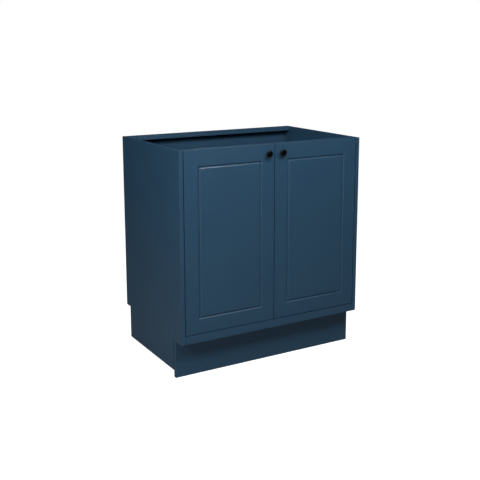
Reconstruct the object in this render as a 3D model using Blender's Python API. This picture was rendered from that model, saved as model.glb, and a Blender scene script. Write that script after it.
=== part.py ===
"""Bathroom vanity cabinet: a painted base cabinet with an open top, two inset doors on single-pivot
cup hinges, round knobs, four adjustable legs and a set-back plinth.

Metres, +Z up, the doors face -Y. The origin is on the floor, midway across the width and midway
between the knobs' faces and the back panel.

Depth along Y is written v, the distance behind the side panels' front edges. Near a side panel,
u is the distance from its inner face towards the middle of the cabinet.
"""

import math

import bmesh
import bpy
from mathutils import Matrix, Vector

# Carcass
WIDTH = 0.800
DEPTH = 0.518
HEIGHT = 0.865
BOARD = 0.016
BODY_BOTTOM = 0.145
GAP = 0.0003
PROUD = 0.002
EDGE_EASE = 0.0008
BACK_EASE = 0.0004
SHARP_ANGLE = math.radians(35)
SQUARE_ANGLE = math.radians(60)
BACK_THICKNESS = 0.006
SIDE_FOOT_Z = 0.027
REAR_NOTCH_DEPTH = 0.036
REAR_NOTCH_TOP = 0.158
BACK_RAIL_DEPTH = 0.034
FRONT_RAIL_HEIGHT = 0.031
TOP_RAIL_V = 0.0204

# Plinth and legs
PLINTH_SETBACK = 0.055
PLINTH_END_INSET = 0.0017
LEG_X = 0.330
LEG_V = (0.112, 0.440)
SOCKET_RADIUS = 0.022
SOCKET_FLANGE_RADIUS = 0.030
SOCKET_HEIGHT = 0.024
SOCKET_ROOF = 0.006
SOCKET_FLANGE = 0.003
SOCKET_SHOULDER = 0.002
TUBE_RADIUS = 0.017
TUBE_COLLAR_RADIUS = 0.0195
TUBE_COLLAR_HEIGHT = 0.008
TUBE_COLLAR_SLOPE = 0.002
TUBE_BOTTOM = 0.026
TUBE_BORE_TOP = 0.075
STEM_RADIUS = 0.009
STEM_TOP = 0.070
STEM_CHAMFER = 0.002
FOOT_RADIUS = 0.027
FOOT_THICKNESS = 0.012
FOOT_RIBS = 12
FOOT_RIB_DEPTH = 0.0015
FOOT_CONE_HEIGHT = 0.010
FOOT_CONE_STEP = 0.002
FOOT_CONE_RADIUS = 0.020
CLIP_Z = (0.062, 0.086)
CLIP_WALL = 0.003
CLIP_PAD_HALF = 0.016
CLIP_NECK_HALF = 0.007
CLIP_MOUTH = math.radians(50)

# Doors
DOOR_THICKNESS = 0.018
DOOR_GAP = 0.003
DOOR_TOP_DROP = 0.0005
DOOR_EASE = 0.0010
GROOVE_INSET = 0.060
GROOVE_TOP_EXTRA = 0.004
GROOVE_HALF_WIDTH = 0.0050
GROOVE_FLAT = 0.0008
GROOVE_DEPTH = 0.0040

# Hinges: the door turns about a pin inside each cup. Points are (u, v)
PIVOT_U = 0.0098
PIVOT_V = 0.0066
HINGE_FROM_DOOR_END = 0.100
CUP_U = 0.0235
CUP_RADIUS = 0.017
CUP_WALL = 0.0006
CUP_FLOOR_V = 0.0038
CUP_FLOOR_EASE = 0.001
FLANGE_THICKNESS = 0.0012
FLANGE_RIM = 0.0022
EAR_HALF_WIDTH = 0.0095
EAR_REACH = 0.031
PIN_RADIUS = 0.00105
EYE_RADIUS = 0.0020
EYE_HALF_HEIGHT = 0.0033
STRIP = 0.0020
STRIP_U = 0.0074
ARM_HALF_HEIGHT = 0.0070
ARM_END_V = 0.0935
ARM_KNEES = ((0.0245, 0.0264), (0.0120, 0.0326), (STRIP_U, 0.0420))
ARM_BEND_RADIUS = 0.0040
NECK_HALF_HEIGHT = 0.0034
NECK_THICKNESS = 0.00196
NECK_ELBOWS = ((0.0245, 0.0062), (0.0261, 0.0265))
NECK_ROOT = (0.0160, 0.0315)
NECK_BEND_RADIUS = 0.0030
PLATE_V = (0.046, 0.094)
PLATE_HALF_HEIGHT = 0.0065
PLATE_THICKNESS = 0.0016
PLATE_RAIL_HALF = 0.0055
PLATE_RAIL_END_INSET = 0.001
WING_HALF_WIDTH = 0.0070
WING_REACH = 0.0225
PLATE_SCREW_V = 0.056
PLATE_SCREW_Z = 0.016
ARM_SCREW_V = 0.080
ARM_SCREW_FLOOR_U = 0.0012

# Screws
SCREW_HEAD_RADIUS = 0.0036
SCREW_HEAD_HEIGHT = 0.0018
PLATE_SCREW_RADIUS = 0.0018
PLATE_SCREW_LENGTH = 0.0125
PILOT_RADIUS = 0.0022
PILOT_DEPTH = 0.0115
ARM_SCREW_RADIUS = 0.0017
KNOB_SCREW_RADIUS = 0.0019
KNOB_SCREW_HOLE = 0.0023
KNOB_SCREW_GRIP = 0.0110

# Knobs, with the outline as radius and distance out from the door
KNOB_X = 0.0305
KNOB_DROP = 0.034
KNOB_REACH = 0.0185
KNOB_THREAD_END = 0.014
KNOB_OUTLINE = (
    (0.0070, GAP), (0.0068, 0.0018), (0.0055, 0.0038), (0.0056, 0.0068), (0.0108, 0.0100),
    (0.0132, 0.0118), (0.0135, 0.0135), (0.0127, 0.0160), (0.0088, 0.0179), (0, KNOB_REACH),
)

# Bumpers
BUMPER_X = 0.060
BUMPER_RADIUS = 0.0045
BUMPER_TOP_RADIUS = 0.0032

INNER_HALF = WIDTH / 2 - BOARD
FRONT_Y = (KNOB_REACH - DEPTH) / 2
BACK_V = DEPTH - BACK_THICKNESS
DOOR_BOTTOM = BODY_BOTTOM + FRONT_RAIL_HEIGHT + DOOR_GAP
DOOR_TOP = HEIGHT - DOOR_TOP_DROP
DOOR_WIDTH = INNER_HALF - DOOR_GAP - DOOR_GAP / 2
HINGE_HEIGHTS = {
    "lower": DOOR_BOTTOM + HINGE_FROM_DOOR_END,
    "upper": DOOR_TOP - HINGE_FROM_DOOR_END,
}
SIDES = {"left": -1, "right": 1}

FINISHES = {
    "paint": ((0.033, 0.075, 0.125), 0.42, 0.0),
    "knob_black": ((0.012, 0.013, 0.015), 0.38, 0.0),
    "steel": ((0.55, 0.56, 0.58), 0.28, 1.0),
    "zinc": ((0.48, 0.48, 0.47), 0.40, 1.0),
    "leg_plastic": ((0.020, 0.020, 0.021), 0.55, 0.0),
    "bumper_clear": ((0.75, 0.77, 0.78), 0.30, 0.0),
}


def clear_scene():
    for old in list(bpy.data.objects):
        bpy.data.objects.remove(old)


def make_materials():
    made = {}
    for name, (colour, roughness, metallic) in FINISHES.items():
        material = bpy.data.materials.new(name)
        material.use_nodes = True
        shader = material.node_tree.nodes["Principled BSDF"]
        shader.inputs["Base Color"].default_value = (*colour, 1.0)
        shader.inputs["Roughness"].default_value = roughness
        shader.inputs["Metallic"].default_value = metallic
        made[name] = material
    return made


def to_mesh(bm, name):
    """Closes a bmesh into a mesh with outward faces, smooth except at its sharp edges."""
    bmesh.ops.recalc_face_normals(bm, faces=bm.faces)
    mesh = bpy.data.meshes.new(name)
    bm.to_mesh(mesh)
    bm.free()
    mesh.shade_smooth()
    mesh.set_sharp_from_angle(angle=SHARP_ANGLE)
    return mesh


def box_mesh(size):
    bm = bmesh.new()
    bmesh.ops.create_cube(bm, size=1.0, matrix=Matrix.Diagonal((*size, 1.0)))
    return to_mesh(bm, "box")


def prism_mesh(outline, low, high, axis="Z"):
    """A flat outline carried from low to high: outlines are in XY for Z and in YZ for X."""
    bm = bmesh.new()
    if axis == "Z":
        corners = [bm.verts.new((a, b, low)) for a, b in outline]
        travel = Vector((0, 0, high - low))
    else:
        corners = [bm.verts.new((low, a, b)) for a, b in outline]
        travel = Vector((high - low, 0, 0))
    floor = bm.faces.new(corners)
    moved = bmesh.ops.extrude_face_region(bm, geom=[floor])["geom"]
    bmesh.ops.translate(bm, verts=[g for g in moved if isinstance(g, bmesh.types.BMVert)], vec=travel)
    return to_mesh(bm, "prism")


def turned_mesh(rings, segments):
    """A form turned about Z from (radius, height) rings; a radius of 0 closes it on the axis.

    A radius can also be a function of the angle, for a rim that isn't round.
    """
    bm = bmesh.new()
    rows = []
    for radius, height in rings:
        if radius == 0:
            rows.append([bm.verts.new((0, 0, height))])
            continue
        row = []
        for step in range(segments):
            angle = math.tau * step / segments
            reach = radius(angle) if callable(radius) else radius
            row.append(bm.verts.new((reach * math.cos(angle), reach * math.sin(angle), height)))
        rows.append(row)
    for lower, upper in zip(rows, rows[1:]):
        for step in range(segments):
            after = (step + 1) % segments
            corners = (
                lower[step % len(lower)],
                lower[after % len(lower)],
                upper[after % len(upper)],
                upper[step % len(upper)],
            )
            bm.faces.new(list(dict.fromkeys(corners)))
    return to_mesh(bm, "turned")


def rod_mesh(radius, low, high, segments):
    return turned_mesh([(0, low), (radius, low), (radius, high), (0, high)], segments)


def eased_mesh(mesh, width):
    """The mesh with its square edges rounded over."""
    bm = bmesh.new()
    bm.from_mesh(mesh)
    square = [edge for edge in bm.edges if edge.calc_face_angle() > SQUARE_ANGLE]
    bmesh.ops.bevel(bm, geom=square, offset=width, segments=2, profile=0.5, affect="EDGES")
    return to_mesh(bm, mesh.name)


def moved_mesh(mesh, matrix):
    mesh.transform(matrix)
    if matrix.determinant() < 0:
        mesh.flip_normals()
    return mesh


def combined(base, tool, operation):
    """The base mesh after an exact Boolean with the tool mesh."""
    body = bpy.data.objects.new("body", base)
    other = bpy.data.objects.new("tool", tool)
    for obj in (body, other):
        bpy.context.scene.collection.objects.link(obj)
    cut = body.modifiers.new("cut", "BOOLEAN")
    cut.operation = operation
    cut.object = other
    graph = bpy.context.evaluated_depsgraph_get()
    result = bpy.data.meshes.new_from_object(body.evaluated_get(graph))
    for obj in (body, other):
        bpy.data.objects.remove(obj)
    result.shade_smooth()
    result.set_sharp_from_angle(angle=SHARP_ANGLE)
    return result


def add(name, mesh, material, place, parent=None):
    """Adds a named object at a world place, below a parent empty where one is given."""
    obj = bpy.data.objects.new(name, mesh)
    mesh.materials.clear()
    mesh.materials.append(material)
    bpy.context.scene.collection.objects.link(obj)
    obj.location = Vector(place)
    if parent:
        obj.parent = parent
        obj.location = Vector(place) - parent.location


def add_board(name, low, high, material, ease=EDGE_EASE):
    """A board between two corners given as (x, v, z)."""
    low, high = Vector(low), Vector(high)
    middle = (low + high) / 2
    place = (middle.x, FRONT_Y + middle.y, middle.z)
    add(name, eased_mesh(box_mesh(high - low), ease), material, place)


def beside(side, u, v, z):
    """The world place of a point given by its distance u from a side panel and its depth v."""
    return Vector((side * (INNER_HALF - u), FRONT_Y + v, z))


def rounded_path(corners, radius, steps):
    """A path through corners, each inner corner replaced by an arc-like run of points."""
    path = [Vector(corners[0])]
    for before, corner, after in zip(corners, corners[1:], corners[2:]):
        corner = Vector(corner)
        into = (Vector(before) - corner).normalized()
        out = (Vector(after) - corner).normalized()
        start, end = corner + into * radius, corner + out * radius
        for step in range(steps + 1):
            t = step / steps
            path.append((1 - t) ** 2 * start + 2 * t * (1 - t) * corner + t**2 * end)
    path.append(Vector(corners[-1]))
    return path


def strip_outline(path, thickness):
    """The outline of a bent strip of even thickness along a path."""
    left, right = [], []
    for index, point in enumerate(path):
        before = path[max(index - 1, 0)]
        after = path[min(index + 1, len(path) - 1)]
        along = (after - before).normalized()
        across = Vector((-along.y, along.x)) * thickness / 2
        left.append(point + across)
        right.append(point - across)
    return left + right[::-1]


def circle(centre, radius, segments):
    return [
        (
            centre[0] + radius * math.cos(math.tau * step / segments),
            centre[1] + radius * math.sin(math.tau * step / segments),
        )
        for step in range(segments)
    ]


# Carcass


def side_panel_outline():
    """The side's outline in depth v and height z, with its toe-kick and its rear bottom notch."""
    toe = PLINTH_SETBACK + BOARD + GAP
    heel = DEPTH - REAR_NOTCH_DEPTH
    return [
        (0, BODY_BOTTOM),
        (0, HEIGHT),
        (DEPTH, HEIGHT),
        (DEPTH, REAR_NOTCH_TOP),
        (heel, REAR_NOTCH_TOP),
        (heel, SIDE_FOOT_Z),
        (toe, SIDE_FOOT_Z),
        (toe, BODY_BOTTOM),
    ]


def add_side_panel(word, side, material):
    """A side panel with pilot holes for the hinge plates' screws."""
    mesh = prism_mesh(side_panel_outline(), -BOARD / 2, BOARD / 2, axis="X")
    mesh = eased_mesh(mesh, EDGE_EASE)
    for height in HINGE_HEIGHTS.values():
        for offset in (-PLATE_SCREW_Z, PLATE_SCREW_Z):
            hole = rod_mesh(PILOT_RADIUS, -PILOT_DEPTH, PROUD, 10)
            turn = Matrix.Rotation(-side * math.pi / 2, 4, "Y")
            place = Matrix.Translation((-side * BOARD / 2, PLATE_SCREW_V, height + offset))
            mesh = combined(mesh, moved_mesh(hole, place @ turn), "DIFFERENCE")
    place = (side * (WIDTH / 2 - BOARD / 2), FRONT_Y, 0)
    add(f"{word}_side_panel", mesh, material, place)


def add_carcass(materials):
    paint = materials["paint"]
    for word, side in SIDES.items():
        add_side_panel(word, side, paint)
    reach = INNER_HALF - GAP
    front = BOARD + GAP
    rear = BACK_V - GAP
    bottom_top = BODY_BOTTOM + BOARD
    add_board("bottom_panel", (-reach, front, BODY_BOTTOM), (reach, rear, bottom_top), paint)
    rail_top = BODY_BOTTOM + FRONT_RAIL_HEIGHT
    add_board("front_bottom_rail", (-reach, 0, BODY_BOTTOM), (reach, BOARD, rail_top), paint)
    rail_low = HEIGHT - FRONT_RAIL_HEIGHT
    add_board("front_top_rail", (-reach, TOP_RAIL_V, rail_low), (reach, TOP_RAIL_V + BOARD, HEIGHT), paint)
    rail_front = rear - BACK_RAIL_DEPTH
    add_board("back_top_rail", (-reach, rail_front, HEIGHT - BOARD), (reach, rear, HEIGHT), paint)
    add_board("back_panel", (-reach, BACK_V, BODY_BOTTOM), (reach, DEPTH, HEIGHT), paint, ease=BACK_EASE)
    plinth_reach = WIDTH / 2 - PLINTH_END_INSET
    plinth_low = (-plinth_reach, PLINTH_SETBACK, 0)
    plinth_high = (plinth_reach, PLINTH_SETBACK + BOARD, BODY_BOTTOM - GAP)
    add_board("plinth_board", plinth_low, plinth_high, paint)


# Legs


def ribbed(outer, inner, ribs):
    """A rim radius that steps in and out around the foot, for fingers to turn it by."""
    return lambda angle: outer if math.cos(ribs * angle) > 0 else inner


def add_leg(word, x, v, materials):
    """One adjustable leg: a socket under the bottom panel, a tube and a foot that screws into it."""
    plastic = materials["leg_plastic"]
    place = (x, FRONT_Y + v, 0)
    roof = BODY_BOTTOM - GAP
    mouth = roof - SOCKET_HEIGHT
    bore = TUBE_RADIUS + GAP
    socket = [
        (0, roof), (SOCKET_FLANGE_RADIUS, roof), (SOCKET_FLANGE_RADIUS, roof - SOCKET_FLANGE),
        (SOCKET_RADIUS + SOCKET_SHOULDER, roof - SOCKET_FLANGE - SOCKET_SHOULDER),
        (SOCKET_RADIUS, mouth), (bore, mouth),
        (bore, roof - SOCKET_ROOF), (0, roof - SOCKET_ROOF),
    ]
    add(f"{word}_leg_socket", turned_mesh(socket, 20), plastic, place)
    tube_top = roof - SOCKET_ROOF - GAP
    collar_top = TUBE_BOTTOM + TUBE_COLLAR_HEIGHT
    stem_bore = STEM_RADIUS + GAP
    tube = [
        (0, tube_top), (TUBE_RADIUS, tube_top), (TUBE_RADIUS, collar_top + TUBE_COLLAR_SLOPE),
        (TUBE_COLLAR_RADIUS, collar_top), (TUBE_COLLAR_RADIUS, TUBE_BOTTOM), (stem_bore, TUBE_BOTTOM),
        (stem_bore, TUBE_BORE_TOP), (0, TUBE_BORE_TOP),
    ]
    add(f"{word}_leg_tube", turned_mesh(tube, 20), plastic, place)
    grip = ribbed(FOOT_RADIUS, FOOT_RADIUS - FOOT_RIB_DEPTH, FOOT_RIBS)
    cone_top = FOOT_THICKNESS + FOOT_CONE_HEIGHT
    foot = [
        (0, 0), (FOOT_RADIUS - 2 * FOOT_RIB_DEPTH, 0), (grip, FOOT_CONE_STEP), (grip, FOOT_THICKNESS),
        (FOOT_CONE_RADIUS, cone_top - FOOT_CONE_STEP), (STEM_RADIUS, cone_top),
        (STEM_RADIUS, STEM_TOP - STEM_CHAMFER), (STEM_RADIUS - STEM_CHAMFER, STEM_TOP), (0, STEM_TOP),
    ]
    add(f"{word}_leg_foot", turned_mesh(foot, 2 * FOOT_RIBS), plastic, place)


def arc(radius, start, end, steps):
    """Points along an arc about the origin, from one angle to another."""
    angles = (start + (end - start) * step / steps for step in range(steps + 1))
    return [(radius * math.cos(angle), radius * math.sin(angle)) for angle in angles]


def clip_outline():
    """A plinth clip seen from above: an open ring round the leg tube on a flat pad at the plinth."""
    pad_front = PLINTH_SETBACK + BOARD + GAP - LEG_V[0]
    pad_back = pad_front + CLIP_WALL
    inner = TUBE_RADIUS + GAP
    outer = inner + CLIP_WALL
    neck_turn = math.asin(CLIP_NECK_HALF / outer)
    tip = math.pi / 2 - CLIP_MOUTH
    pad = [(-CLIP_PAD_HALF, pad_front), (CLIP_PAD_HALF, pad_front), (CLIP_PAD_HALF, pad_back)]
    right = arc(outer, neck_turn - math.pi / 2, tip, 9)
    inside = arc(inner, tip, -math.pi - tip, 18)
    left = arc(outer, -math.pi - tip, -neck_turn - math.pi / 2, 9)
    neck = (CLIP_NECK_HALF, pad_back)
    return pad + [neck] + right + inside + left + [(-CLIP_NECK_HALF, pad_back), (-CLIP_PAD_HALF, pad_back)]


def add_legs(materials):
    for word, side in SIDES.items():
        for row, v in zip(("front", "rear"), LEG_V):
            add_leg(f"{row}_{word}", side * LEG_X, v, materials)
        clip = prism_mesh(clip_outline(), CLIP_Z[0], CLIP_Z[1])
        place = (side * LEG_X, FRONT_Y + LEG_V[0], 0)
        add(f"{word}_plinth_clip", clip, materials["leg_plastic"], place)


# Doors


def rectangle(bm, half_width, half_height, inset, depth):
    """Four corners of a rectangle on the door, set in from its edge and a little further at the top."""
    w, low = half_width - inset, inset - half_height
    high = half_height - inset - (GROOVE_TOP_EXTRA if inset else 0)
    return [bm.verts.new((x, depth, z)) for x, z in ((-w, low), (w, low), (w, high), (-w, high))]


def door_mesh(width, height):
    """A slab whose face, at -Y, has one routed groove all round a flat centre panel."""
    bm = bmesh.new()
    half_w, half_h = width / 2, height / 2
    steps = (
        (0, 0),
        (GROOVE_INSET - GROOVE_HALF_WIDTH, 0),
        (GROOVE_INSET - GROOVE_FLAT, GROOVE_DEPTH),
        (GROOVE_INSET + GROOVE_FLAT, GROOVE_DEPTH),
        (GROOVE_INSET + GROOVE_HALF_WIDTH, 0),
    )
    loops = [rectangle(bm, half_w, half_h, 0, DOOR_THICKNESS)]
    loops += [rectangle(bm, half_w, half_h, inset, depth) for inset, depth in steps]
    bm.faces.new(loops[0])
    for outer, inner in zip(loops, loops[1:]):
        for corner in range(4):
            after = (corner + 1) % 4
            bm.faces.new((outer[corner], outer[after], inner[after], inner[corner]))
    bm.faces.new(loops[-1])
    return to_mesh(bm, "door")


def bore(radius, near, far, segments):
    """A cutter along Y between two depths."""
    return moved_mesh(rod_mesh(radius, near, far, segments), Matrix.Rotation(-math.pi / 2, 4, "X"))


def add_door(word, side, axis, materials):
    """A door with two cup bores in its back and a through hole for the knob's screw."""
    height = DOOR_TOP - DOOR_BOTTOM
    middle = beside(side, DOOR_GAP + DOOR_WIDTH / 2, 0, DOOR_BOTTOM + height / 2)
    mesh = eased_mesh(door_mesh(DOOR_WIDTH, height), DOOR_EASE)
    for level in HINGE_HEIGHTS.values():
        cutter = bore(CUP_RADIUS + GAP, CUP_FLOOR_V - GAP, DOOR_THICKNESS + PROUD, 28)
        offset = beside(side, CUP_U, 0, level) - middle
        mesh = combined(mesh, moved_mesh(cutter, Matrix.Translation(offset)), "DIFFERENCE")
    cutter = bore(KNOB_SCREW_HOLE, -PROUD, DOOR_THICKNESS + PROUD, 10)
    offset = Vector((side * KNOB_X, FRONT_Y, DOOR_TOP - KNOB_DROP)) - middle
    mesh = combined(mesh, moved_mesh(cutter, Matrix.Translation(offset)), "DIFFERENCE")
    add(f"{word}_door", mesh, materials["paint"], middle, axis)


def add_knob(word, side, axis, materials):
    """A round knob with a domed head, and the machine screw that holds it through the door."""
    place = Vector((side * KNOB_X, FRONT_Y, DOOR_TOP - KNOB_DROP))
    thread = [(0, KNOB_THREAD_END), (KNOB_SCREW_HOLE, KNOB_THREAD_END), (KNOB_SCREW_HOLE, GAP)]
    knob = [*thread, *KNOB_OUTLINE]
    forward = Matrix.Rotation(math.pi / 2, 4, "X")
    add(f"{word}_knob", moved_mesh(turned_mesh(knob, 24), forward), materials["knob_black"], place, axis)
    back = DOOR_THICKNESS + GAP
    screw = screw_mesh(SCREW_HEAD_RADIUS, SCREW_HEAD_HEIGHT, KNOB_SCREW_RADIUS, back + KNOB_SCREW_GRIP)
    screw = moved_mesh(screw, Matrix.Translation((0, back, 0)) @ Matrix.Rotation(-math.pi / 2, 4, "X"))
    add(f"{word}_knob_screw", screw, materials["zinc"], place, axis)


def screw_mesh(head_radius, head_height, shank_radius, length):
    """A pan-head screw with a cross recess: its head is above Z = 0 and its shank below."""
    rings = [
        (0, -length), (shank_radius * 0.6, -length), (shank_radius, -length + 0.002), (shank_radius, 0),
        (head_radius, 0), (head_radius, head_height * 0.45), (head_radius * 0.75, head_height * 0.9),
        (0, head_height),
    ]
    arm, half = head_radius * 0.55, head_radius * 0.15
    cross = [
        (half, half), (half, arm), (-half, arm), (-half, half), (-arm, half), (-arm, -half),
        (-half, -half), (-half, -arm), (half, -arm), (half, -half), (arm, -half), (arm, half),
    ]
    recess = prism_mesh(cross, head_height * 0.4, head_height * 1.5)
    return combined(turned_mesh(rings, 12), recess, "DIFFERENCE")


def add_bumper(word, side, materials):
    """A clear pad on the front top rail that the closed door rests against."""
    thickness = TOP_RAIL_V - DOOR_THICKNESS - 2 * GAP
    pad = [(0, 0), (BUMPER_RADIUS, 0), (BUMPER_RADIUS, thickness / 2), (BUMPER_TOP_RADIUS, thickness)]
    pad.append((0, thickness))
    mesh = moved_mesh(turned_mesh(pad, 14), Matrix.Rotation(math.pi / 2, 4, "X"))
    place = (side * BUMPER_X, FRONT_Y + TOP_RAIL_V - GAP, HEIGHT - FRONT_RAIL_HEIGHT / 2)
    add(f"{word}_door_bumper", mesh, materials["bumper_clear"], place)


# Hinges


def cup_mesh():
    """A pressed cup, open towards +Z, with a flange that spreads into two screw ears along Y."""

    def flange(angle):
        across, along = abs(math.cos(angle)), abs(math.sin(angle))
        ear = min(EAR_HALF_WIDTH / max(across, 1e-6), EAR_REACH / max(along, 1e-6))
        return max(CUP_RADIUS + FLANGE_RIM, ear)

    depth = DOOR_THICKNESS + GAP - CUP_FLOOR_V
    inner = CUP_RADIUS - CUP_WALL
    rings = [
        (0, -depth), (CUP_RADIUS - CUP_FLOOR_EASE, -depth), (CUP_RADIUS, -depth + CUP_FLOOR_EASE),
        (CUP_RADIUS, 0), (flange, 0), (flange, FLANGE_THICKNESS), (inner, FLANGE_THICKNESS),
        (inner, -depth + CUP_WALL), (0, -depth + CUP_WALL),
    ]
    return turned_mesh(rings, 32)


def arm_mesh(side):
    """The cranked arm: a narrow neck that hooks into the cup and a wide strip along the side panel.

    It is drawn with u along -X on the right and +X on the left, from the pin's axis.
    """
    neck = rounded_path([(PIVOT_U, PIVOT_V), *NECK_ELBOWS, NECK_ROOT], NECK_BEND_RADIUS, 3)
    strip = rounded_path([*ARM_KNEES, (STRIP_U, ARM_END_V)], ARM_BEND_RADIUS, 3)

    def local(points):
        return [(-side * (point[0] - PIVOT_U), point[1] - PIVOT_V) for point in points]

    mesh = prism_mesh(local(strip_outline(strip, STRIP)), -ARM_HALF_HEIGHT, ARM_HALF_HEIGHT)
    narrow = prism_mesh(local(strip_outline(neck, NECK_THICKNESS)), -NECK_HALF_HEIGHT, NECK_HALF_HEIGHT)
    mesh = combined(mesh, narrow, "UNION")
    eye = prism_mesh(circle((0, 0), EYE_RADIUS, 14), -EYE_HALF_HEIGHT, EYE_HALF_HEIGHT)
    mesh = combined(mesh, eye, "UNION")
    pin_hole = prism_mesh(circle((0, 0), PIN_RADIUS + GAP, 14), -ARM_HALF_HEIGHT, ARM_HALF_HEIGHT)
    return combined(mesh, pin_hole, "DIFFERENCE")


def plate_mesh(side):
    """The wing plate on the side panel: a base with two screw wings under a raised rail."""
    low_v, high_v = PLATE_V
    half = PLATE_HALF_HEIGHT
    wing_low, wing_high = PLATE_SCREW_V - WING_HALF_WIDTH, PLATE_SCREW_V + WING_HALF_WIDTH
    lower_edge = [
        (low_v, -half), (wing_low, -half), (wing_low, -WING_REACH),
        (wing_high, -WING_REACH), (wing_high, -half), (high_v, -half),
    ]
    outline = lower_edge + [(v, -z) for v, z in reversed(lower_edge)]
    mesh = prism_mesh(outline, GAP, GAP + PLATE_THICKNESS, axis="X")
    ends = (low_v + PLATE_RAIL_END_INSET, high_v - PLATE_RAIL_END_INSET)
    rail = [(ends[0], -PLATE_RAIL_HALF), (ends[1], -PLATE_RAIL_HALF)]
    rail += [(v, -z) for v, z in reversed(rail)]
    rail_top = STRIP_U - STRIP / 2 - GAP
    mesh = combined(mesh, prism_mesh(rail, PLATE_THICKNESS / 2, rail_top, axis="X"), "UNION")
    holes = [(PLATE_SCREW_V, -PLATE_SCREW_Z, -PROUD), (PLATE_SCREW_V, PLATE_SCREW_Z, -PROUD)]
    holes.append((ARM_SCREW_V, 0, ARM_SCREW_FLOOR_U))
    for v, z, start in holes:
        hole = prism_mesh(circle((v, z), PILOT_RADIUS, 12), start, rail_top + PROUD, axis="X")
        mesh = combined(mesh, hole, "DIFFERENCE")
    if side > 0:
        mesh = moved_mesh(mesh, Matrix.Scale(-1, 4, (1, 0, 0)))
    return mesh


def add_hinge(word, side, level_name, level, axis, materials):
    """One cup hinge: cup and pin on the door; arm, plate and screws on the side panel."""
    label = f"{word}_{level_name}"
    cup = moved_mesh(cup_mesh(), Matrix.Rotation(-math.pi / 2, 4, "X"))
    cup_place = beside(side, CUP_U, DOOR_THICKNESS + GAP, level)
    add(f"{label}_hinge_cup", cup, materials["steel"], cup_place, axis)
    inner = CUP_RADIUS - CUP_WALL
    half_pin = math.sqrt(inner**2 - (CUP_U - PIVOT_U + PIN_RADIUS) ** 2) - 2 * GAP
    pin = rod_mesh(PIN_RADIUS, -half_pin, half_pin, 12)
    add(f"{label}_hinge_pin", pin, materials["steel"], beside(side, PIVOT_U, PIVOT_V, level), axis)

    arm = arm_mesh(side)
    across = Matrix.Rotation(-side * math.pi / 2, 4, "Y")
    screw_place = Vector((side * PIVOT_U, ARM_SCREW_V - PIVOT_V, 0))
    hole = rod_mesh(PILOT_RADIUS, 0, 2 * STRIP_U, 12)
    arm = combined(arm, moved_mesh(hole, Matrix.Translation(screw_place) @ across), "DIFFERENCE")
    add(f"{label}_hinge_arm", arm, materials["steel"], beside(side, PIVOT_U, PIVOT_V, level))
    add(f"{label}_hinge_plate", plate_mesh(side), materials["steel"], beside(side, 0, 0, level))

    head_u = STRIP_U + STRIP / 2 + GAP
    shank = head_u - ARM_SCREW_FLOOR_U - GAP
    screw = moved_mesh(screw_mesh(SCREW_HEAD_RADIUS, SCREW_HEAD_HEIGHT, ARM_SCREW_RADIUS, shank), across)
    add(f"{label}_arm_screw", screw, materials["zinc"], beside(side, head_u, ARM_SCREW_V, level))
    head_u = GAP + PLATE_THICKNESS + GAP
    for end, offset in (("low", -PLATE_SCREW_Z), ("high", PLATE_SCREW_Z)):
        screw = screw_mesh(SCREW_HEAD_RADIUS, SCREW_HEAD_HEIGHT, PLATE_SCREW_RADIUS, PLATE_SCREW_LENGTH)
        screw = moved_mesh(screw, across)
        place = beside(side, head_u, PLATE_SCREW_V, level + offset)
        add(f"{label}_plate_screw_{end}", screw, materials["zinc"], place)


def add_door_sets(materials):
    for word, side in SIDES.items():
        axis = bpy.data.objects.new(f"{word}_door_axis", None)
        bpy.context.scene.collection.objects.link(axis)
        axis.location = beside(side, PIVOT_U, PIVOT_V, DOOR_BOTTOM)
        add_door(word, side, axis, materials)
        add_knob(word, side, axis, materials)
        add_bumper(word, side, materials)
        for level_name, level in HINGE_HEIGHTS.items():
            add_hinge(word, side, level_name, level, axis, materials)


def main():
    clear_scene()
    materials = make_materials()
    add_carcass(materials)
    add_legs(materials)
    add_door_sets(materials)


main()
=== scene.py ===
"""The looks of the bathroom vanity cabinet: paint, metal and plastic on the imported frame, in a studio."""

import math

import bmesh
import bpy
from mathutils import Matrix, Vector


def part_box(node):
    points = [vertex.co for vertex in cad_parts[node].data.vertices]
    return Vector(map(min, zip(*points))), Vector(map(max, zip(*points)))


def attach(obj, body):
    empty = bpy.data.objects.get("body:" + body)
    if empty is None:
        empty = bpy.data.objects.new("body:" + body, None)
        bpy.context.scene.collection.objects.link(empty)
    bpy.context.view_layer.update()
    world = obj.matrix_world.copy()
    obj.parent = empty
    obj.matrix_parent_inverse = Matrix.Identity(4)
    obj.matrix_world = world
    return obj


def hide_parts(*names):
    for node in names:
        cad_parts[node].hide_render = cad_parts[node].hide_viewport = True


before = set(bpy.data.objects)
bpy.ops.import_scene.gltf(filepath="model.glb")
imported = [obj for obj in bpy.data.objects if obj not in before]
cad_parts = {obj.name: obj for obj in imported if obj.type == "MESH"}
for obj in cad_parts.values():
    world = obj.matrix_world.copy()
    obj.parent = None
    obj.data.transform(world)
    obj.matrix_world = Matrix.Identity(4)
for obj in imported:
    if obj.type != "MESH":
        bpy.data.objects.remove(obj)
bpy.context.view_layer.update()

# The camera, in the row frame: metres and a direction.
CAMERA_AT = Vector((-1.6337, -2.8011, 1.2516))
CAMERA_FORWARD = Vector((0.5001, 0.8460, -0.1848))
CAMERA_LENS = 61.04
CAMERA_SHIFT = (-0.0128, -0.1004)

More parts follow.
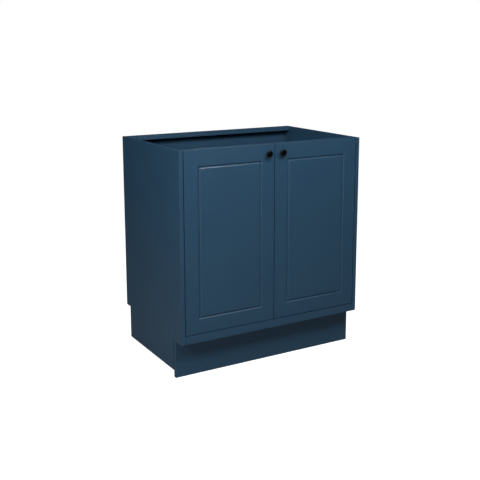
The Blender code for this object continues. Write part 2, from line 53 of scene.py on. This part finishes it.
# The studio: the floor's size and glow, the sky's brightness at the horizon and overhead, and each
# softbox's place, target, size and power in watts.
FLOOR_HALF = 30.0
FLOOR_GLOW = 1.0
SKY_LOW, SKY_HIGH = 0.0, 0.06
SOFTBOXES = {
    "key_softbox": ((-0.20, -1.536, 2.032), (0, -0.25, 0.5), 0.7, 17),
    "right_key_softbox": ((0.669, -1.409, 1.986), (0, -0.25, 0.5), 0.7, 12.5),
    "front_softbox": ((-0.826, -1.235, 2.032), (0, -0.25, 0.5), 0.7, 10),
    "front_low_softbox": ((-1.286, -1.782, 0.5), (0, -0.25, 0.5), 0.7, 4),
    "left_softbox": ((-1.751, -0.719, 1.345), (0, -0.25, 0.5), 0.7, 17),
    "left_low_softbox": ((-1.932, -0.768, 0.5), (0, -0.25, 0.5), 0.7, 1.5),
}
# Lights for the sides that the camera doesn't see, with no reflection of their own.
FILLS = {
    "back_fill": ((0.9, 2.0, 0.40), (0, 0.25, 0.35), 0.9, 16),
    "right_low_fill": ((2.1, -0.1, 0.35), (0.4, 0, 0.35), 0.9, 11),
    "back_top_fill": ((0, 0.60, 2.30), (0, -0.1, 0.5), 0.9, 5),
}
# Lights that only show as reflections.
GLINTS = {
    "top_glint": ((-0.05, -0.36, 1.30), (-0.33, -0.25, 0.80), 0.12, 3.8),
}

SIDES = {"left": -1, "right": 1}
LEVELS = ("lower", "upper")
GAP = 0.0003

# The rounding of a CAD node's arrises, and the angle from which an edge is one.
ARRIS_WIDTH = 0.00025
ARRIS_ANGLE = math.radians(28)

# Doors: eased edges, and a routed groove. Its corners are the distance in from the door's edge, the
# depth and the reach of the rounding.
DOOR_EASE = 0.0007
DOOR_BACK_INSET = 0.03
DOOR_PANEL_INSET = 0.075
GROOVE = ((0.0550, 0, 0.0008), (0.0592, 0.0040, 0.0004), (0.0608, 0.0040, 0.0004), (0.0650, 0, 0.0008))
GROOVE_CORNER = 0.0004
GROOVE_TOP_EXTRA = 0.004
CUP_BORE = (0.0173, 0.0035)
SCREW_HOLE = 0.0023

# The knob's outline: radius and distance out from the door.
KNOB_CURVE = (
    (0.0070, 0.0003), (0.0070, 0.0011), (0.0064, 0.0021), (0.0056, 0.0040), (0.0056, 0.0062),
    (0.0071, 0.0082), (0.0102, 0.0097), (0.0127, 0.0112), (0.0135, 0.0130), (0.0131, 0.0149),
    (0.0113, 0.0166), (0.0081, 0.0178), (0.0041, 0.0184), (0, 0.0185),
)
KNOB_THREAD_END = 0.014

# Hinge cups, with the screws in their ears.
CUP_RADIUS = 0.017
CUP_WALL = 0.0006
CUP_RIM = 0.0022
CUP_RING_RADIUS = 0.0105
CUP_RING_DEPTH = 0.0002
FLANGE = 0.0012
EAR_HALF_WIDTH = 0.0095
EAR_REACH = 0.031
EAR_SQUARENESS = 7
CUP_SCREW_Z = 0.0252
PIN_RADIUS = 0.00105
PIN_EASE = 0.0004

# Legs
SOCKET_WALL_RADIUS = 0.022
SOCKET_FLANGE_RADIUS = 0.030
SOCKET_ROOF = 0.006
GUSSET_HALF_ANGLE = 0.06
GUSSET_SETBACK = 0.0012
TUBE_RADIUS = 0.017
TUBE_COLLAR_RADIUS = 0.0195
TUBE_COLLAR_HEIGHT = 0.008
TUBE_BORE_DEPTH = 0.049
FLUTES = 16
FLUTE_DEPTH = 0.0005
FLUTE_LOW = 0.0135
STEM_RADIUS = 0.009
FOOT_RADIUS = 0.027
FOOT_RIBS = 24
FOOT_RIB_DEPTH = 0.0012
FOOT_RIB_TOP = 0.0128
THREAD_START = 0.0232
THREAD_PITCH = 0.0015
THREAD_DEPTH = 0.0007
THREAD_TURNS = 8
SOCKET_SCREW_RADIUS = 0.0264
SOCKET_FLANGE = 0.003
PLINTH_CLIP_SCREW_X = 0.0118
PLINTH_CLIP_PAD = 0.003

# Screws: head radius, head height, shank radius and thread pitch.
PAN_HEAD = (0.0036, 0.0018, 0.0018, 0.0012)
SMALL_HEAD = (0.0029, 0.0013, 0.0014, 0.0011)
SMALL_SCREW_LENGTH = 0.0125


class Shader:
    """A node material under construction. Coordinates are the object's own, in metres."""

    def __init__(self, name, **fixed):
        self.material = bpy.data.materials.new(name)
        self.material.use_nodes = True
        self.tree = self.material.node_tree
        self.bsdf = next(n for n in self.tree.nodes if n.type == "BSDF_PRINCIPLED")
        for socket, value in fixed.items():
            self.bsdf.inputs[socket.replace("_", " ")].default_value = value
        self.place = self.node("ShaderNodeTexCoord").outputs["Object"]

    def node(self, kind, **settings):
        made = self.tree.nodes.new(kind)
        for name, value in settings.items():
            setattr(made, name, value)
        return made

    def link(self, source, target):
        self.tree.links.new(source, target)

    def noise(self, scale, detail=2.0, stretch=None):
        """A noise from 0 to 1 with that many features in a metre, drawn out where stretch is above 1."""
        noise = self.node("ShaderNodeTexNoise")
        noise.inputs["Scale"].default_value = scale
        noise.inputs["Detail"].default_value = detail
        source = self.place
        if stretch:
            mapping = self.node("ShaderNodeMapping")
            mapping.inputs["Scale"].default_value = [1 / s for s in stretch]
            self.link(source, mapping.inputs["Vector"])
            source = mapping.outputs["Vector"]
        self.link(source, noise.inputs["Vector"])
        return noise.outputs["Fac"]

    def spread(self, value, low, high, start=0.3, end=0.7):
        """value from start to end becomes low to high."""
        span = self.node("ShaderNodeMapRange")
        for name, number in (("From Min", start), ("From Max", end), ("To Min", low), ("To Max", high)):
            span.inputs[name].default_value = number
        self.link(value, span.inputs["Value"])
        return span.outputs["Result"]

    def mix(self, amount, first, second):
        """first colour where amount is 0, second where it is 1; either may be a socket."""
        mix = self.node("ShaderNodeMix", data_type="RGBA")
        for socket, colour in ((mix.inputs[6], first), (mix.inputs[7], second)):
            if isinstance(colour, tuple):
                socket.default_value = (*colour, 1)
            else:
                self.link(colour, socket)
        self.link(amount, mix.inputs[0])
        return mix.outputs[2]

    def bump(self, height, depth, normal=None):
        """Relief of that depth in metres, over another relief if one is given."""
        bump = self.node("ShaderNodeBump")
        bump.inputs["Distance"].default_value = depth
        self.link(height, bump.inputs["Height"])
        if normal:
            self.link(normal, bump.inputs["Normal"])
        return bump.outputs["Normal"]

    def finish(self, colour=None, roughness=None, normal=None):
        for name, source in (("Base Color", colour), ("Roughness", roughness), ("Normal", normal)):
            if source:
                self.link(source, self.bsdf.inputs[name])
        return self.material


def blue_paint():
    """Satin deep-blue lacquer sprayed on fibreboard, with fine orange peel and faint mottling."""
    paint = Shader("satin_blue_lacquer", Specular_IOR_Level=0.25)
    patches = paint.spread(paint.noise(7), 0, 1)
    mottle = paint.mix(patches, (0.0187, 0.0555, 0.1010), (0.0202, 0.0588, 0.1048))
    sheen = paint.spread(paint.noise(60, 4), 0.42, 0.47)
    peel = paint.bump(paint.noise(420, 1), 0.00006)
    fibre = paint.bump(paint.noise(1900, 2), 0.00002, peel)
    return paint.finish(mottle, sheen, fibre)


def black_enamel():
    """Satin black enamel with a fine powder-coat texture."""
    knob = Shader("black_enamel", Specular_IOR_Level=0.08)
    patches = knob.spread(knob.noise(300), 0, 1)
    colour = knob.mix(patches, (0.0010, 0.0011, 0.0013), (0.0018, 0.0018, 0.0020))
    sheen = knob.spread(knob.noise(900), 0.24, 0.32)
    return knob.finish(colour, sheen, knob.bump(knob.noise(2600), 0.00002))


def plated_steel(name, bright, dull, smooth, rough):
    """Plated metal: drawn-out polishing marks and a mottled plating."""
    metal = Shader(name, Metallic=1.0)
    colour = metal.mix(metal.spread(metal.noise(220, 3), 0, 1), bright, dull)
    marks = metal.noise(2200, 2, (1, 1, 12))
    return metal.finish(colour, metal.spread(marks, smooth, rough), metal.bump(marks, 0.000012))


def moulded_plastic(name, light, dark, low, high, **fixed):
    """Moulded plastic with a fine spark-eroded grain."""
    plastic = Shader(name, **fixed)
    colour = plastic.mix(plastic.spread(plastic.noise(90, 3), 0, 1), light, dark)
    grain = plastic.noise(3200, 1)
    return plastic.finish(colour, plastic.spread(plastic.noise(500), low, high), plastic.bump(grain, 0.00003))


def make_materials():
    """One finish for each of the record's material slots."""
    return {
        "blue_paint": blue_paint(),
        "knob_black": black_enamel(),
        "hinge_steel": plated_steel("nickel_plate", (0.62, 0.60, 0.56), (0.52, 0.50, 0.47), 0.22, 0.36),
        "zinc": plated_steel("zinc_plate", (0.58, 0.60, 0.62), (0.44, 0.46, 0.49), 0.26, 0.42),
        "leg_plastic": moulded_plastic(
            "black_polypropylene", (0.018, 0.018, 0.019), (0.011, 0.011, 0.012), 0.42, 0.55
        ),
        "bumper_plastic": moulded_plastic(
            "clear_polyurethane", (0.72, 0.74, 0.74), (0.62, 0.65, 0.66), 0.22, 0.32
        ),
    }


# Shapes


def filleted(corners, steps=4):
    """A profile through (a, b) corners; a third number on a corner rounds it off over that reach."""
    path = []
    for index, corner in enumerate(corners):
        here = Vector(corner[:2])
        if len(corner) < 3:
            path.append(tuple(here))
            continue
        before = Vector(corners[index - 1][:2]) - here
        after = Vector(corners[index + 1][:2]) - here
        start = here + before.normalized() * min(corner[2], before.length / 2)
        end = here + after.normalized() * min(corner[2], after.length / 2)
        for step in range(steps + 1):
            t = step / steps
            path.append(tuple((1 - t) ** 2 * start + 2 * t * (1 - t) * here + t**2 * end))
    return path


def flowing(points, steps=4):
    """A smooth curve through points."""
    ends = [points[0], *points, points[-1]]
    path = []
    for p0, p1, p2, p3 in zip(ends, ends[1:], ends[2:], ends[3:]):
        p0, p1, p2, p3 = (Vector(p) for p in (p0, p1, p2, p3))
        for step in range(steps):
            t = step / steps
            spot = p1 + (p2 - p0) * t / 2 + (p0 * 2 - p1 * 5 + p2 * 4 - p3) * t**2 / 2
            path.append(tuple(spot + (p1 * 3 - p0 - p2 * 3 + p3) * t**3 / 2))
    return path + [tuple(points[-1])]


def to_mesh(bm, name, sharp=32):
    bmesh.ops.recalc_face_normals(bm, faces=bm.faces)
    mesh = bpy.data.meshes.new(name)
    bm.to_mesh(mesh)
    bm.free()
    mesh.shade_smooth()
    mesh.set_sharp_from_angle(angle=math.radians(sharp))
    return mesh


def skinned(rows, name, sharp=32):
    """A closed skin over rows of points; a row of one point closes an end."""
    bm = bmesh.new()
    rows = [[bm.verts.new(point) for point in row] for row in rows]
    count = max(len(row) for row in rows)
    for lower, upper in zip(rows, rows[1:]):
        for step in range(count):
            after = (step + 1) % count
            corners = (
                lower[step % len(lower)], lower[after % len(lower)],
                upper[after % len(upper)], upper[step % len(upper)],
            )
            bm.faces.new(list(dict.fromkeys(corners)))
    for row in (rows[0], rows[-1]):
        if len(row) > 1:
            bm.faces.new(row)
    return to_mesh(bm, name, sharp)


def turned(profile, name, segments=64, shape=None, crowd=0.0, sharp=32):
    """A form turned about Z from (radius, height) points. shape(angle, radius, height) bends a radius.

    crowd draws the points round the form together towards +Y and -Y.
    """
    rows = []
    for radius, height in profile:
        if radius < 1e-7:
            rows.append([(0, 0, height)])
            continue
        row = []
        for step in range(segments):
            even = math.tau * step / segments
            angle = even + crowd * math.sin(2 * even)
            reach = shape(angle, radius, height) if shape else radius
            row.append((reach * math.cos(angle), reach * math.sin(angle), height))
        rows.append(row)
    return skinned(rows, name, sharp)


def rounded_rectangle(half_width, low, high, radius, depth, steps=4):
    """Points round a rectangle with rounded corners, in XZ at a depth along Y."""
    points = []
    top, bottom = high - radius, low + radius
    for turn, (sx, end) in enumerate(((1, top), (-1, top), (-1, bottom), (1, bottom))):
        for step in range(steps + 1):
            angle = math.pi / 2 * (turn + step / steps)
            x = sx * (half_width - radius) + radius * math.cos(angle)
            z = end + radius * math.sin(angle)
            points.append((x, depth, z))
    return points


def carved(mesh, cutters, sharp=32):
    """The mesh less each cutter."""
    body = bpy.data.objects.new("body", mesh)
    bpy.context.scene.collection.objects.link(body)
    tools = []
    for cutter in cutters:
        tool = bpy.data.objects.new("tool", cutter)
        bpy.context.scene.collection.objects.link(tool)
        cut = body.modifiers.new("cut", "BOOLEAN")
        cut.operation = "DIFFERENCE"
        cut.object = tool
        tools.append(tool)
    graph = bpy.context.evaluated_depsgraph_get()
    result = bpy.data.meshes.new_from_object(body.evaluated_get(graph))
    for obj in (body, *tools):
        bpy.data.objects.remove(obj)
    result.shade_smooth()
    result.set_sharp_from_angle(angle=math.radians(sharp))
    return result


def moved(mesh, matrix):
    mesh.transform(matrix)
    return mesh


TO_BACK = Matrix.Rotation(-math.pi / 2, 4, "X")
TO_FRONT = Matrix.Rotation(math.pi / 2, 4, "X")


def rod(radius, low, high, name, segments=48):
    return turned([(0, low), (radius, low), (radius, high), (0, high)], name, segments)


def even_shading(obj):
    even = obj.modifiers.new("even_shading", "WEIGHTED_NORMAL")
    even.weight = 100
    even.keep_sharp = True


def piece(name, mesh, place, body, slot, stands_for=(), even=False):
    """Adds a piece at a world place or matrix, riding on a CAD body and standing for its CAD nodes."""
    obj = bpy.data.objects.new(name, mesh)
    if not mesh.materials:
        mesh.materials.append(FINISH[slot])
    bpy.context.scene.collection.objects.link(obj)
    obj.matrix_world = place if isinstance(place, Matrix) else Matrix.Translation(place)
    if even:
        even_shading(obj)
    if stands_for:
        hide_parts(*stands_for)
        REPLACED.update(stands_for)
    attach(obj, body)
    return obj


def centre(node):
    low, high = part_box(node)
    return (low + high) / 2


# Doors and knobs


def make_door(word):
    """A door with eased edges, a routed groove with softened arrises, cup bores and a screw hole."""
    node = f"{word}_door"
    low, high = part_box(node)
    middle = centre(node)
    half_w, half_h, thick = (high.x - low.x) / 2, (high.z - low.z) / 2, high.y - low.y
    corners = [
        (DOOR_BACK_INSET, thick), (0, thick, DOOR_EASE), (0, 0, DOOR_EASE), *GROOVE, (DOOR_PANEL_INSET, 0),
    ]
    rows = []
    for inset, depth in filleted(corners, 5):
        corner = max(DOOR_EASE - inset, GROOVE_CORNER)
        on_face = inset > GROOVE[0][0] / 2 and depth < thick / 2
        top = half_h - inset - (GROOVE_TOP_EXTRA if on_face else 0)
        rows.append(rounded_rectangle(half_w - inset, inset - half_h, top, corner, depth))
    mesh = skinned(rows, node)
    face = Vector((middle.x, low.y, middle.z))
    cutters = []
    for level in LEVELS:
        cup = centre(f"{word}_{level}_hinge_cup")
        bore = moved(rod(CUP_BORE[0], CUP_BORE[1], thick + DOOR_EASE, "bore", 64), TO_BACK)
        cutters.append(moved(bore, Matrix.Translation((cup.x - face.x, 0, cup.z - face.z))))
    knob = centre(f"{word}_knob")
    hole = moved(rod(SCREW_HOLE, -DOOR_EASE, thick + DOOR_EASE, "hole", 24), TO_BACK)
    cutters.append(moved(hole, Matrix.Translation((knob.x - face.x, 0, knob.z - face.z))))
    piece(f"{word}_door_panel", carved(mesh, cutters), face, f"{word}_door", "blue_paint", [node], even=True)


def make_knob(word):
    """A turned knob with a domed head, open at its back for the screw."""
    node = f"{word}_knob"
    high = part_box(node)[1]
    bore = [(0, KNOB_THREAD_END), (SCREW_HOLE, KNOB_THREAD_END), (SCREW_HOLE, KNOB_CURVE[0][1])]
    mesh = moved(turned(bore + flowing(KNOB_CURVE), node, 72, sharp=50), TO_FRONT)
    middle = centre(node)
    seat = Vector((middle.x, high.y + GAP, middle.z))
    piece(f"{word}_turned_knob", mesh, seat, f"{word}_door", "knob_black", [node])


# Screws


def screw_mesh(name, head, length):
    """A cross-recessed pan head above Z = 0 over a threaded shank that tapers to a point."""
    radius, height, shank, pitch = head
    profile = [(0, -length), (shank * 0.45, -length + 0.0012)]
    turns = int((length - 0.003) / pitch)
    for turn in range(turns):
        low = -length + 0.0015 + turn * pitch
        profile += [(shank * 0.74, low), (shank, low + pitch * 0.4), (shank, low + pitch * 0.5)]
    profile += [(shank * 0.74, -0.0012), (shank * 0.8, 0), (radius * 0.94, 0)]
    dome = ((1.0, 0.14), (1.0, 0.30), (0.95, 0.56), (0.80, 0.80), (0.55, 0.94), (0.28, 0.99))
    profile += [(radius * r, height * h) for r, h in dome] + [(0, height)]
    arm, half = radius * 0.56, radius * 0.11
    rows = []
    for level, grow in ((height * 0.30, 0.55), (height * 1.5, 1.15)):
        a, h = arm * grow, half * grow
        ring = (
            (h, h), (h, a), (-h, a), (-h, h), (-a, h), (-a, -h),
            (-h, -h), (-h, -a), (h, -a), (h, -h), (a, -h), (a, h),
        )
        rows.append([(x, y, level) for x, y in ring])
    return carved(turned(profile, name, 32), [skinned(rows, "recess")])


def facing(direction, spin=0.0):
    """A turn that takes +Z to a direction, after a spin about +Z."""
    return Vector(direction).to_track_quat("Z", "Y").to_matrix().to_4x4() @ Matrix.Rotation(spin, 4, "Z")


def make_cad_screws():
    """The screws that the CAD holds: knob screws face back, hinge screws face the cabinet's inside."""
    meshes = {}
    for node in sorted(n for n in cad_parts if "_screw" in n):
        word = node.split("_")[0]
        kind = next(k for k in ("knob", "arm", "plate") if f"_{k}_" in node)
        direction = Vector((0, 1, 0)) if kind == "knob" else Vector((-SIDES[word], 0, 0))
        low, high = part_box(node)
        size = high - low
        length = max(size) - PAN_HEAD[1]
        if kind not in meshes:
            meshes[kind] = screw_mesh(f"{kind}_screw", PAN_HEAD, length)
        seat = centre(node) + direction * (max(size) / 2 - PAN_HEAD[1])
        spin = 0.35 + 0.9 * len(node) + (0.6 if "upper" in node else 0)
        body = f"{word}_door" if kind == "knob" else "cabinet"
        place = Matrix.Translation(seat) @ facing(direction, spin)
        piece(f"{node}_threaded", meshes[kind], place, body, "zinc", [node])


def make_small_screws():
    """The screws in the hinge cups' ears, the leg sockets' flanges and the plinth clips' pads."""
    mesh = screw_mesh("small_screw", SMALL_HEAD, SMALL_SCREW_LENGTH)
    seats = []
    for word in SIDES:
        for level in LEVELS:
            cup = f"{word}_{level}_hinge_cup"
            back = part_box(cup)[1].y
            for end, offset in (("low", -CUP_SCREW_Z), ("high", CUP_SCREW_Z)):
                spot = centre(cup)
                seat = Vector((spot.x, back, spot.z + offset))
                seats.append((f"{word}_{level}_cup_screw_{end}", seat, (0, 1, 0), f"{word}_door"))
        clip = f"{word}_plinth_clip"
        pad_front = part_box(clip)[0].y
        for end, offset in (("left", -PLINTH_CLIP_SCREW_X), ("right", PLINTH_CLIP_SCREW_X)):
            seat = Vector((centre(clip).x + offset, pad_front + PLINTH_CLIP_PAD, centre(clip).z))
            seats.append((f"{word}_clip_screw_{end}", seat, (0, 1, 0), "cabinet"))
    for row in ("front", "rear"):
        for word in SIDES:
            socket = f"{row}_{word}_leg_socket"
            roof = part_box(socket)[1].z
            for corner in range(4):
                angle = math.radians(45 + 90 * corner)
                out = Vector((math.cos(angle), math.sin(angle), 0)) * SOCKET_SCREW_RADIUS
                seat = Vector((centre(socket).x, centre(socket).y, roof - SOCKET_FLANGE)) + out
                seats.append((f"{row}_{word}_socket_screw_{corner + 1}", seat, (0, 0, -1), "cabinet"))
    for index, (name, seat, direction, body) in enumerate(seats):
        piece(name, mesh, Matrix.Translation(seat) @ facing(direction, 0.8 * index), body, "zinc")


# Hinges


def ear_rim(angle, radius, height):
    """The cup's flange: a round rim with two rounded ears along Y."""
    if radius <= CUP_RADIUS + 0.0005:
        return radius
    inset = CUP_RADIUS + CUP_RIM - radius
    across, along = max(abs(math.cos(angle)), 1e-6), max(abs(math.sin(angle)), 1e-6)
    sides, end = (EAR_HALF_WIDTH - inset) / across, (EAR_REACH - inset) / along
    ear = (sides**-EAR_SQUARENESS + end**-EAR_SQUARENESS) ** (-1 / EAR_SQUARENESS)
    return max(radius, ear)


def make_cup(word, level):
    """A pressed steel cup with rolled corners and a ring step in its floor."""
    node = f"{word}_{level}_hinge_cup"
    low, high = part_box(node)
    depth = high.y - low.y - FLANGE
    rim, inner = CUP_RADIUS + CUP_RIM, CUP_RADIUS - CUP_WALL
    floor = -depth + CUP_WALL
    ring_floor = floor - CUP_RING_DEPTH
    profile = filleted([
        (0, -depth), (CUP_RADIUS, -depth, 0.0016), (CUP_RADIUS, 0, 0.0002), (rim, 0, 0.0002),
        (rim, FLANGE, 0.0005), (inner, FLANGE, 0.0007), (inner, floor, 0.0012),
        (CUP_RING_RADIUS, floor), (CUP_RING_RADIUS - 0.0003, ring_floor), (0, ring_floor),
    ])
    mesh = moved(turned(profile, node, 128, ear_rim, crowd=0.30), TO_BACK)
    middle = centre(node)
    seat = Vector((middle.x, high.y - FLANGE, middle.z))
    piece(f"{word}_{level}_pressed_cup", mesh, seat, f"{word}_door", "hinge_steel", [node])
    pin = f"{word}_{level}_hinge_pin"
    half = (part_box(pin)[1].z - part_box(pin)[0].z) / 2
    outline = filleted([(0, -half), (PIN_RADIUS, -half, PIN_EASE), (PIN_RADIUS, half, PIN_EASE), (0, half)])
    mesh = turned(outline, pin, 32)
    piece(f"{word}_{level}_pivot_pin", mesh, centre(pin), f"{word}_door", "hinge_steel", [pin])


# Legs and bumpers


def make_leg(label):
    """A moulded leg: a gusseted socket, a fluted tube with a collar, and a ribbed foot on a threaded stem."""
    spot = centre(f"{label}_leg_tube")
    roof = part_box(f"{label}_leg_socket")[1].z
    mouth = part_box(f"{label}_leg_socket")[0].z
    bore = TUBE_RADIUS + GAP
    wall = SOCKET_WALL_RADIUS
    flange = roof - SOCKET_FLANGE
    gusset_foot = mouth + 0.004

    def gussets(angle, radius, height):
        near = abs((angle + math.pi / 4) % (math.pi / 2) - math.pi / 4)
        if near > GUSSET_HALF_ANGLE or radius < wall - GAP or height > flange - 0.0004:
            return radius
        rise = max(0, (height - gusset_foot) / (flange - gusset_foot))
        return wall + (SOCKET_FLANGE_RADIUS - GUSSET_SETBACK - wall) * rise

    steps = [(wall, flange - (flange - mouth - 0.002) * step / 8) for step in range(1, 9)]
    socket = filleted([
        (0, roof), (SOCKET_FLANGE_RADIUS, roof, 0.0003), (SOCKET_FLANGE_RADIUS, flange, 0.0006),
        (wall, flange), *steps, (wall, mouth, 0.0006), (bore, mouth, 0.0004), (bore, roof - SOCKET_ROOF),
        (0, roof - SOCKET_ROOF),
    ])
    node = f"{label}_leg_socket"
    base = Vector((spot.x, spot.y, 0))
    mesh = turned(socket, node, 144, gussets)
    piece(f"{label}_moulded_socket", mesh, base, "cabinet", "leg_plastic", [node])

    node = f"{label}_leg_tube"
    low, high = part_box(node)
    stem_bore = STEM_RADIUS + GAP
    collar_top = low.z + TUBE_COLLAR_HEIGHT
    flute_low = low.z + FLUTE_LOW
    flute_high = mouth - 0.002

    def flutes(angle, radius, height):
        if abs(radius - TUBE_RADIUS) > 0.00005 or not flute_low < height < flute_high:
            return radius
        return radius - FLUTE_DEPTH * max(0.0, math.cos(FLUTES * angle)) ** 0.5

    tube = filleted([
        (0, high.z), (TUBE_RADIUS, high.z, 0.0006), (TUBE_RADIUS, flute_high + 0.0005),
        (TUBE_RADIUS, flute_high - 0.0005), (TUBE_RADIUS, flute_low + 0.001),
        (TUBE_RADIUS, flute_low - 0.001), (TUBE_RADIUS, collar_top + 0.002, 0.0010),
        (TUBE_COLLAR_RADIUS, collar_top, 0.0008),
        (TUBE_COLLAR_RADIUS, low.z, 0.0008), (stem_bore, low.z, 0.0004),
        (stem_bore, low.z + TUBE_BORE_DEPTH), (0, low.z + TUBE_BORE_DEPTH),
    ])
    mesh = turned(tube, node, 128, flutes)
    piece(f"{label}_fluted_tube", mesh, base, "cabinet", "leg_plastic", [node])

    node = f"{label}_leg_foot"
    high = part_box(node)[1]

    def ribs(angle, radius, height):
        if radius < FOOT_RADIUS - FOOT_RIB_DEPTH or height > FOOT_RIB_TOP:
            return radius
        return radius - FOOT_RIB_DEPTH * (0.5 - 0.5 * math.cos(FOOT_RIBS * angle)) ** 2

    root = STEM_RADIUS - THREAD_DEPTH
    thread = []
    for turn in range(THREAD_TURNS):
        z = THREAD_START + THREAD_PITCH * turn
        thread += [(root, z), (STEM_RADIUS, z + 0.0006), (STEM_RADIUS, z + 0.0008)]
    foot = filleted([
        (0, 0.0008), (0.018, 0.0008), (0.0185, 0), (FOOT_RADIUS, 0, 0.0016), (FOOT_RADIUS, 0.012, 0.0012),
        (0.0200, 0.0165, 0.0030), (STEM_RADIUS, 0.022, 0.0020), *thread, (root, 0.036),
        (root, high.z - 0.001), (root - 0.001, high.z), (0, high.z),
    ])
    body = label.replace("_leg", "") + "_foot"
    mesh = turned(foot, node, 192, ribs)
    piece(f"{label}_ribbed_foot", mesh, base, body, "leg_plastic", [node])


def make_bumper(word):
    """A clear domed pad."""
    node = f"{word}_door_bumper"
    low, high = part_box(node)
    radius, thickness = (high.x - low.x) / 2, high.y - low.y
    dome = filleted([
        (0, 0), (radius, 0, 0.0002), (radius, thickness * 0.35, 0.0004),
        (radius * 0.82, thickness * 0.85, 0.0004), (0, thickness),
    ])
    mesh = moved(turned(dome, node, 48), TO_FRONT)
    middle = centre(node)
    seat = Vector((middle.x, high.y, middle.z))
    piece(f"{word}_domed_bumper", mesh, seat, "cabinet", "bumper_plastic", [node])


def dress_cad_nodes():
    """Every CAD node still shown takes its slot's finish, with welded corners and rounded arrises."""
    for name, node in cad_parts.items():
        mesh = node.data
        slot = mesh.materials[0].name.split(".")[0]
        mesh.materials[0] = FINISH[slot]
        if name in REPLACED:
            continue
        if "custom_normal" in mesh.attributes:
            mesh.attributes.remove(mesh.attributes["custom_normal"])
        mesh.shade_smooth()
        weld = node.modifiers.new("weld", "WELD")
        weld.merge_threshold = 0.00002
        bevel = node.modifiers.new("arris", "BEVEL")
        bevel.width = ARRIS_WIDTH
        bevel.segments = 2
        bevel.limit_method = "ANGLE"
        bevel.angle_limit = ARRIS_ANGLE
        even_shading(node)


def make_floor():
    mesh = bpy.data.meshes.new("studio_floor")
    half = FLOOR_HALF
    corners = [(-half, -half, 0), (half, -half, 0), (half, half, 0), (-half, half, 0)]
    mesh.from_pydata(corners, [], [(0, 1, 2, 3)])
    floor = bpy.data.objects.new("studio_floor", mesh)
    bpy.context.scene.collection.objects.link(floor)
    paper = Shader("studio_paper", Base_Color=(0.35, 0.35, 0.35, 1), Roughness=1.0, Specular_IOR_Level=0.0,
                   Emission_Color=(1, 1, 1, 1))
    path = paper.node("ShaderNodeLightPath").outputs["Is Camera Ray"]
    paper.link(paper.spread(path, 0, FLOOR_GLOW, 0, 1), paper.bsdf.inputs["Emission Strength"])
    mesh.materials.append(paper.material)


def make_sky():
    """White as a backdrop; as a light, dim at the horizon and brighter overhead."""
    world = bpy.data.worlds.new("studio_sky")
    world.use_nodes = True
    tree = world.node_tree
    output = next(n for n in tree.nodes if n.type == "OUTPUT_WORLD")
    backdrop = next(n for n in tree.nodes if n.type == "BACKGROUND")
    backdrop.inputs["Color"].default_value = (1, 1, 1, 1)
    dome = tree.nodes.new("ShaderNodeBackground")
    place = tree.nodes.new("ShaderNodeTexCoord")
    split = tree.nodes.new("ShaderNodeSeparateXYZ")
    level = tree.nodes.new("ShaderNodeMapRange")
    level.inputs["To Min"].default_value = SKY_LOW
    level.inputs["To Max"].default_value = SKY_HIGH
    path = tree.nodes.new("ShaderNodeLightPath")
    mix = tree.nodes.new("ShaderNodeMixShader")
    for source, target in (
        (place.outputs["Generated"], split.inputs["Vector"]),
        (split.outputs["Z"], level.inputs["Value"]),
        (level.outputs["Result"], dome.inputs["Strength"]),
        (path.outputs["Is Camera Ray"], mix.inputs[0]),
        (dome.outputs[0], mix.inputs[1]),
        (backdrop.outputs[0], mix.inputs[2]),
        (mix.outputs[0], output.inputs["Surface"]),
    ):
        tree.links.new(source, target)
    bpy.context.scene.world = world


def make_softbox(name, at, target, size, power):
    data = bpy.data.lights.new(name, "AREA")
    data.shape = "DISK"
    data.size = size
    data.energy = power
    light = bpy.data.objects.new(name, data)
    light.location = at
    light.rotation_euler = (Vector(target) - Vector(at)).to_track_quat("-Z", "Y").to_euler()
    bpy.context.scene.collection.objects.link(light)
    return light


def make_studio():
    """A glowing white floor and backdrop, a dim sky, softboxes, fills and glints."""
    make_floor()
    make_sky()
    for name, settings in SOFTBOXES.items():
        make_softbox(name, *settings)
    for name, settings in FILLS.items():
        make_softbox(name, *settings).visible_glossy = False
    for name, settings in GLINTS.items():
        make_softbox(name, *settings).visible_diffuse = False
    bpy.context.scene.view_settings.view_transform = "Standard"


def make_camera():
    data = bpy.data.cameras.new("camera")
    data.lens = CAMERA_LENS
    data.shift_x, data.shift_y = CAMERA_SHIFT
    camera = bpy.data.objects.new("camera", data)
    camera.location = CAMERA_AT
    camera.rotation_euler = CAMERA_FORWARD.to_track_quat("-Z", "Y").to_euler()
    bpy.context.scene.collection.objects.link(camera)
    bpy.context.scene.camera = camera


make_camera()
make_studio()
FINISH = make_materials()
REPLACED = set()
for word in SIDES:
    make_door(word)
    make_knob(word)
    make_bumper(word)
    for level in LEVELS:
        make_cup(word, level)
    for row in ("front", "rear"):
        make_leg(f"{row}_{word}")
make_cad_screws()
make_small_screws()
dress_cad_nodes()
